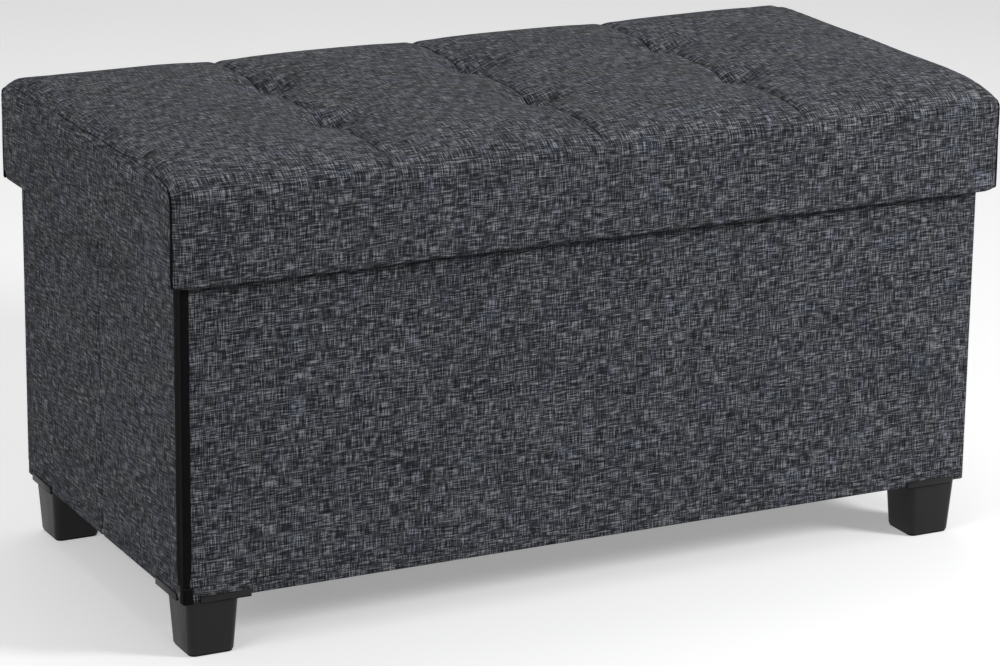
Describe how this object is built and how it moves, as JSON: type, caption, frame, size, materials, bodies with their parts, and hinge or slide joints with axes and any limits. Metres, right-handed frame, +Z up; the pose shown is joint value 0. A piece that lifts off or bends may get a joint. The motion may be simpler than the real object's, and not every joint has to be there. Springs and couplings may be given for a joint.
{
  "type": "storage bench",
  "caption": "Upholstered storage bench with a tufted lift-off lid, walls that fold flat, and short tapered plastic feet.",
  "frame": {"origin": "on the floor under the middle of the lid", "axes": "+X along the bench's length, +Y towards its back, +Z up"},
  "size_m": [0.76, 0.38, 0.4113],
  "materials": {
    "linen_cloth": "matte heathered plain weave",
    "black_lining": "matte nonwoven",
    "black_binding": "matte",
    "fibreboard": "raw fibreboard",
    "foam": "open-cell foam",
    "black_plastic": "satin moulded",
    "nylon": "natural nylon",
    "zinc_steel": "zinc plated",
    "felt": "pressed felt"
  },
  "bodies": {
    "base": {"base_board": "fibreboard", "base_edge_band": "linen_cloth", "base_liner": "black_lining", "dust_cover": "black_lining", "back_board": "fibreboard", "back_cover": "linen_cloth", "back_lining": "black_lining", "foot_front_left": "black_plastic", "foot_front_right": "black_plastic", "foot_rear_left": "black_plastic", "foot_rear_right": "black_plastic", "foot_bolt_front_left": "zinc_steel", "foot_bolt_front_right": "zinc_steel", "foot_bolt_rear_left": "zinc_steel", "foot_bolt_rear_right": "zinc_steel", "tee_nut_front_left": "zinc_steel", "tee_nut_front_right": "zinc_steel", "tee_nut_rear_left": "zinc_steel", "tee_nut_rear_right": "zinc_steel", "foot_pad_front_left": "felt", "foot_pad_front_right": "felt", "foot_pad_rear_left": "felt", "foot_pad_rear_right": "felt"},
    "lid": {"lid_board": "fibreboard", "lid_skirt_front": "fibreboard", "lid_skirt_back": "fibreboard", "lid_skirt_left": "fibreboard", "lid_skirt_right": "fibreboard", "lid_foam": "foam", "lid_cover_left": "linen_cloth", "lid_cover_mid_left": "linen_cloth", "lid_cover_mid_right": "linen_cloth", "lid_cover_right": "linen_cloth", "lid_gusset_left": "linen_cloth", "lid_gusset_right": "linen_cloth", "lid_lining": "black_lining", "tuft_tie_1": "nylon", "tuft_tie_2": "nylon", "tuft_tie_3": "nylon", "tuft_tie_4": "nylon", "tuft_tie_5": "nylon", "tuft_tie_6": "nylon"},
    "left_rear": {"left_rear_board": "fibreboard", "left_rear_cover": "linen_cloth", "left_rear_lining": "black_lining"},
    "left_front": {"left_front_board": "fibreboard", "left_front_cover": "linen_cloth", "left_front_lining": "black_lining", "left_front_binding": "black_binding"},
    "front_wall": {"front_board": "fibreboard", "front_cover": "linen_cloth", "front_lining": "black_lining", "front_binding": "black_binding"},
    "right_rear": {"right_rear_board": "fibreboard", "right_rear_cover": "linen_cloth", "right_rear_lining": "black_lining"},
    "right_front": {"right_front_board": "fibreboard", "right_front_cover": "linen_cloth", "right_front_lining": "black_lining"}
  },
  "joints": [
    {"name": "lid_lift", "type": "slide", "parent": "base", "child": "lid", "axis": [0, 0, 1], "range_m": [0, 0.25]},
    {"name": "left_rear_fold", "type": "hinge", "parent": "base", "child": "left_rear", "pos_m": [-0.36005, 0.17005, 0.2], "axis": [0, 0, 1], "range_deg": [0, 90]},
    {"name": "left_crease", "type": "hinge", "parent": "left_rear", "child": "left_front", "pos_m": [-0.369, 0, 0.2], "axis": [0, 0, 1], "range_deg": [-180, 0]},
    {"name": "front_left_corner", "type": "hinge", "parent": "left_front", "child": "front_wall", "pos_m": [-0.36005, -0.17005, 0.2], "axis": [0, 0, 1], "range_deg": [0, 90]},
    {"name": "right_rear_fold", "type": "hinge", "parent": "base", "child": "right_rear", "pos_m": [0.36005, 0.17005, 0.2], "axis": [0, 0, 1], "range_deg": [-90, 0]},
    {"name": "right_crease", "type": "hinge", "parent": "right_rear", "child": "right_front", "pos_m": [0.369, 0, 0.2], "axis": [0, 0, 1], "range_deg": [0, 180]}
  ],
  "couplings": [
    {"joint": "left_crease", "follows": "left_rear_fold", "ratio": -2},
    {"joint": "front_left_corner", "follows": "left_rear_fold", "ratio": 1},
    {"joint": "right_rear_fold", "follows": "left_rear_fold", "ratio": -1},
    {"joint": "right_crease", "follows": "left_rear_fold", "ratio": 2}
  ]
}
